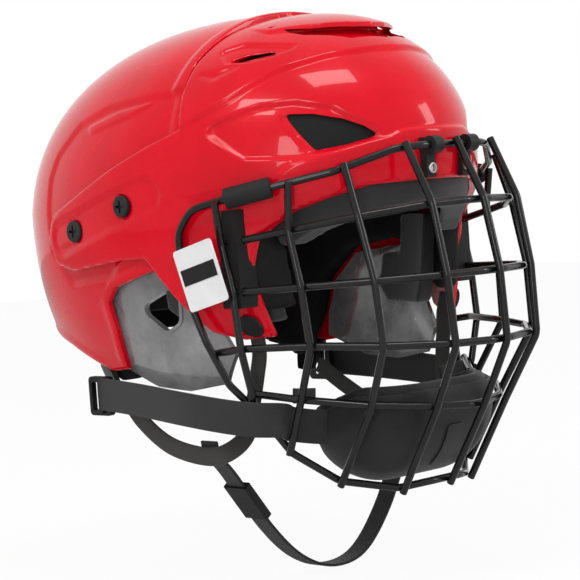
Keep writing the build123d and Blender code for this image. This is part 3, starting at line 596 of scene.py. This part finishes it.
def mergedCopy(node, name):
    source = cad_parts[node]
    obj = source.copy()
    obj.data = source.data.copy()
    obj.name = name
    obj.parent = None
    for key in list(obj.keys()):
        if key.startswith("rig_"):
            del obj[key]
    bpy.context.scene.collection.objects.link(obj)
    obj.matrix_world = Matrix.Identity(4)
    makeActive(obj)
    bpy.ops.object.mode_set(mode="EDIT")
    bpy.ops.mesh.select_all(action="SELECT")
    bpy.ops.mesh.remove_doubles(threshold=0.00002)
    bpy.ops.mesh.normals_make_consistent(inside=False)
    bpy.ops.object.mode_set(mode="OBJECT")
    return obj


# the solids flare a little low on the sides; this draws their copies back under the moulded dome
flare = {"rear": 70.0, "length": 145.0, "power": 1.4, "reach": 8.1, "level": 54.0, "base": 102.0,
         "rate": 6.03e-6, "deepest": 80.0, "sideFrom": 30.0}
onDome = ["front_liner", "rear_liner", "temple_pad_right", "temple_pad_left"]


def drawIn(obj, f):
    points = readPoints(obj) / mm
    down = np.clip(-points[:, 2], 0, f["deepest"])
    share = np.clip((f["rear"] - points[:, 1]) / f["length"], 0, 1) ** f["power"]
    shift = f["reach"] * share * f["rate"] * down * (down - f["level"]) * (down + f["base"])
    points[:, 0] -= np.sign(points[:, 0]) * shift * (np.abs(points[:, 0]) > f["sideFrom"])
    writePoints(obj, points)


def keepUnder(obj, d, grow, drop):
    # what stands out of a shell's inner face is drawn straight back to it
    points = readPoints(obj) / mm
    level = points[:, 2]
    middle = d["middle"] + d["lean"] * np.maximum(level, 0)
    ahead = points[:, 1] < middle
    power = np.where(ahead, d["frontPower"], d["backPower"])
    length = np.where(ahead, d["front"], d["back"]) + grow
    reach = np.where(level >= 0, d["height"] - drop, d["depth"]) + grow
    across = np.abs(points[:, 0] / (d["halfWidth"] + grow)) ** power
    flat = (across + np.abs((points[:, 1] - middle) / length) ** power) ** (1 / power)
    full = flat ** d["levelPower"] + np.abs(level / reach) ** d["levelPower"]
    points[:, 1] -= middle
    points *= (np.maximum(full, 1) ** (-1 / d["levelPower"]))[:, None]
    points[:, 1] += d["middle"] + d["lean"] * np.maximum(points[:, 2], 0)
    writePoints(obj, points)


linerGap = 0.4
under = {"front": (frontShell["inner"] - linerGap, dome["drop"]), "rear": (-rearShell["wall"] - linerGap, 0.0)}


def softened(node, name, body, mat, voxel, steps, fill):
    obj = mergedCopy(node, name)
    if node in onDome:
        drawIn(obj, flare)
    applyModifier(obj, "remesh", "REMESH", mode="VOXEL", voxel_size=voxel * mm)
    applyModifier(obj, "round", "SMOOTH", factor=0.5, iterations=steps)
    if body in under:
        keepUnder(obj, dome, *under[body])
    makeActive(obj)
    bpy.ops.object.shade_smooth()
    paint(obj, mat)
    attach(obj, body)
    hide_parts(node)
    return obj


# node, name, body, material, voxel size in mm, rounds of smoothing, how much of its room the piece fills
softPads = [
    ("brow_pad", "browPad", "front", padGrey, 1.2, 6, 0.8),
    ("front_liner", "frontLiner", "front", foamBlack, 2.0, 5, 1.0),
    ("temple_pad_right", "templePadRight", "front", padGrey, 1.4, 10, 0.8),
    ("temple_pad_left", "templePadLeft", "front", padGrey, 1.4, 10, 0.8),
    ("rear_liner", "rearLiner", "rear", foamBlack, 2.6, 5, 1.0),
    ("crown_pad", "crownPad", "rear", padGrey, 1.6, 10, 0.8),
    ("nape_pad", "napePad", "rear", padGrey, 1.6, 10, 0.8),
    ("chin_cup", "chinCup", "cage", cupBlack, 1.1, 5, 0.9),
    ("chin_cup_liner", "chinCupLiner", "cage", cupBlack, 1.4, 8, 0.8),
]
for pad in softPads:
    softened(*pad)
for sideName in sides:
    snap = mergedCopy("ear_strap_snap_" + sideName, "earStrapSnap" + sideName.title())
    drawIn(snap, flare)
    paint(snap, screwBlack)
    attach(snap, "front")
    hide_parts("ear_strap_snap_" + sideName)
print("pads made")


# straps: a grid laid along the route, then given its thickness

def curvePoint(points, t):
    # smooth curve through the points, t from 0 to 1
    spans = len(points) - 1
    place = min(t * spans, spans - 1e-9)
    i = int(place)
    s = place - i
    p = [Vector(points[min(max(j, 0), spans)]) for j in (i - 1, i, i + 1, i + 2)]
    return 0.5 * ((2 * p[1]) + (p[2] - p[0]) * s + (2 * p[0] - 5 * p[1] + 4 * p[2] - p[3]) * s * s
                  + (3 * p[1] - p[0] - 3 * p[2] + p[3]) * s ** 3)


def strap(name, body, mat, points, acrossAt, width, thick, nodes, steps=120):
    # width and thickness in mm; acrossAt gives the width's direction at a share of the route
    samples = [curvePoint(points, i / steps) for i in range(steps + 1)]
    length = sum((samples[i + 1] - samples[i]).length for i in range(steps))
    bpy.ops.mesh.primitive_grid_add(x_subdivisions=steps, y_subdivisions=6, size=2)
    obj = bpy.context.object
    obj.name = name
    run = [0.0]
    for i in range(steps):
        run.append(run[-1] + (samples[i + 1] - samples[i]).length)
    for vert in obj.data.vertices:
        i = round((vert.co.x + 1) / 2 * steps)
        share = vert.co.y
        along = (samples[min(i + 1, steps)] - samples[max(i - 1, 0)]).normalized()
        across = acrossAt(i / steps, along)
        across = (across - along * across.dot(along)).normalized()
        vert.co = (samples[i] + across * share * width / 2) * mm
    layer = obj.data.uv_layers.active.data
    for loop in layer:
        u, v = loop.uv
        loop.uv = (run[round(u * steps)] * mm, v * width * mm)
    applyModifier(obj, "thickness", "SOLIDIFY", thickness=thick * mm, offset=0.0)
    applyModifier(obj, "edge", "BEVEL", width=0.35 * mm, segments=2, limit_method="ANGLE", angle_limit=1.0)
    makeActive(obj)
    bpy.ops.object.shade_smooth_by_angle(angle=0.7)
    paint(obj, mat)
    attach(obj, body)
    if nodes:
        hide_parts(*nodes)
    return obj


straps = {
    "harness": [(-91.4, 52, -102.6), (-91.5, 45, -102.6), (-94, 15, -104.5), (-97, -25, -108),
                (-94.5, -50, -111), (-90.4, -68, -113), (-86.4, -75.2, -113.5), (-76, -77.3, -115),
                (-70.5, -77.6, -117.5), (-60, -82, -120), (-52.4, -84.7, -121.2)],
    "ear": [(-78, 47, -104), (-82, 30, -117), (-84, 5, -130), (-84, -23, -135), (-84, -42, -132),
            (-79, -53, -122), (-75.8, -56, -104), (-74.4, -58.5, -91), (-73.9, -60.5, -81.5),
            (-74.4, -60.7, -72.6), (-78.3, -61.0, -60.7)],
    "chin": [(-81.9, -25, -127), (-79.5, -25, -136), (-70, -25, -146), (-44, -25, -180), (-22, -25, -200),
             (2, -25, -209), (27, -25, -205), (50, -25, -183), (70, -25, -150), (79.5, -25, -136),
             (81.9, -25, -127)],
    "hanger": [(-68, -77.9, -103), (-60, -77, -104), (-50.5, -76, -105)],
    "harnessWidth": 18.0, "earWidth": 10.0, "chinWidth": 12.5, "hangerWidth": 8.0, "thick": 1.6,
}


def mirroredPoints(points, side):
    return [(-side * x, y, z) for x, y, z in points]


def addStraps(s):
    for sideName, side in sides.items():
        up = lambda t, along: Vector((0, 0, 1))
        inPlane = lambda t, along: along.cross(Vector((1, 0, 0)))
        strap("harnessStrap" + sideName.title(), "cage", webbing, mirroredPoints(s["harness"], side), up,
              s["harnessWidth"], s["thick"], ["harness_strap_" + sideName])
        strap("earStrap" + sideName.title(), "front", earWebbing, mirroredPoints(s["ear"], side), inPlane,
              s["earWidth"], s["thick"], ["ear_strap_" + sideName])
        strap("cupHanger" + sideName.title(), "cage", webbing, mirroredPoints(s["hanger"], side), up,
              s["hangerWidth"], s["thick"], ["cup_hanger_" + sideName], 40)
    strap("chinStrap", "front", webbing, s["chin"], lambda t, along: Vector((0, 1, 0)),
          s["chinWidth"], s["thick"], ["chin_strap"], 160)


addStraps(straps)
print("straps made")


# studio

studio = {"floorZ": -0.2125, "floorSize": 6.0, "floorGlow": 0.94, "worldStrength": 0.45,
          "lamps": [("keyBox", (-1.5, -0.4, 1.6), 0.55, 0.45, 13.0),
                    ("topBox", (-0.3, -0.7, 2.0), 0.7, 0.5, 13.0),
                    ("rightBox", (1.4, -2.0, 1.0), 0.5, 0.9, 14.0),
                    ("leftBox", (-2.0, -1.3, 0.5), 0.35, 0.9, 10.0)]}


def addStudio(s):
    bpy.ops.mesh.primitive_plane_add(size=s["floorSize"], location=(0, 0, s["floorZ"]))
    floor = bpy.context.object
    floor.name = "studioFloor"
    mat, tree, shader = newMaterial("paleFloor")
    setSockets(shader, {"Base Color": (0.9, 0.9, 0.9, 1), "Roughness": 0.9, "Specular IOR Level": 0.1})
    emission = addNode(tree, "ShaderNodeEmission", {"Color": (1, 1, 1, 1), "Strength": 1.0})
    mixer = addNode(tree, "ShaderNodeMixShader")
    light = addNode(tree, "ShaderNodeLightPath")
    seen = addNode(tree, "ShaderNodeMath", operation="MULTIPLY")
    seen.inputs[1].default_value = s["floorGlow"]
    tree.links.new(light.outputs["Is Camera Ray"], seen.inputs[0])
    tree.links.new(seen.outputs[0], mixer.inputs["Fac"])
    tree.links.new(shader.outputs[0], mixer.inputs[1])
    tree.links.new(emission.outputs[0], mixer.inputs[2])
    tree.links.new(mixer.outputs[0], tree.nodes["Material Output"].inputs["Surface"])
    floor.data.materials.append(mat)
    for name, place, wide, high, power in s["lamps"]:
        data = bpy.data.lights.new(name, "AREA")
        data.shape = "RECTANGLE"
        data.size, data.size_y, data.energy = wide, high, power
        lamp = bpy.data.objects.new(name, data)
        bpy.context.scene.collection.objects.link(lamp)
        lamp.location = place
        lamp.rotation_euler = (Vector((0, 0, -0.02)) - Vector(place)).to_track_quat("-Z", "Y").to_euler()
    world = bpy.data.worlds.new("studioWorld")
    bpy.context.scene.world = world
    world.use_nodes = True
    tree = world.node_tree
    background = tree.nodes["Background"]
    background.inputs["Color"].default_value = (1, 1, 1, 1)
    light = addNode(tree, "ShaderNodeLightPath")
    seen = addNode(tree, "ShaderNodeMath", operation="MAXIMUM")
    both = addNode(tree, "ShaderNodeMath", operation="MAXIMUM")
    mix = addNode(tree, "ShaderNodeMix", data_type="FLOAT")
    mix.inputs["A"].default_value = s["worldStrength"]
    mix.inputs["B"].default_value = 1.0
    tree.links.new(light.outputs["Is Camera Ray"], seen.inputs[0])
    tree.links.new(light.outputs["Is Transmission Ray"], seen.inputs[1])
    tree.links.new(seen.outputs[0], both.inputs[0])
    tree.links.new(light.outputs["Is Glossy Ray"], both.inputs[1])
    tree.links.new(both.outputs[0], mix.inputs["Factor"])
    tree.links.new(mix.outputs["Result"], background.inputs["Strength"])


addStudio(studio)
print("studio made")
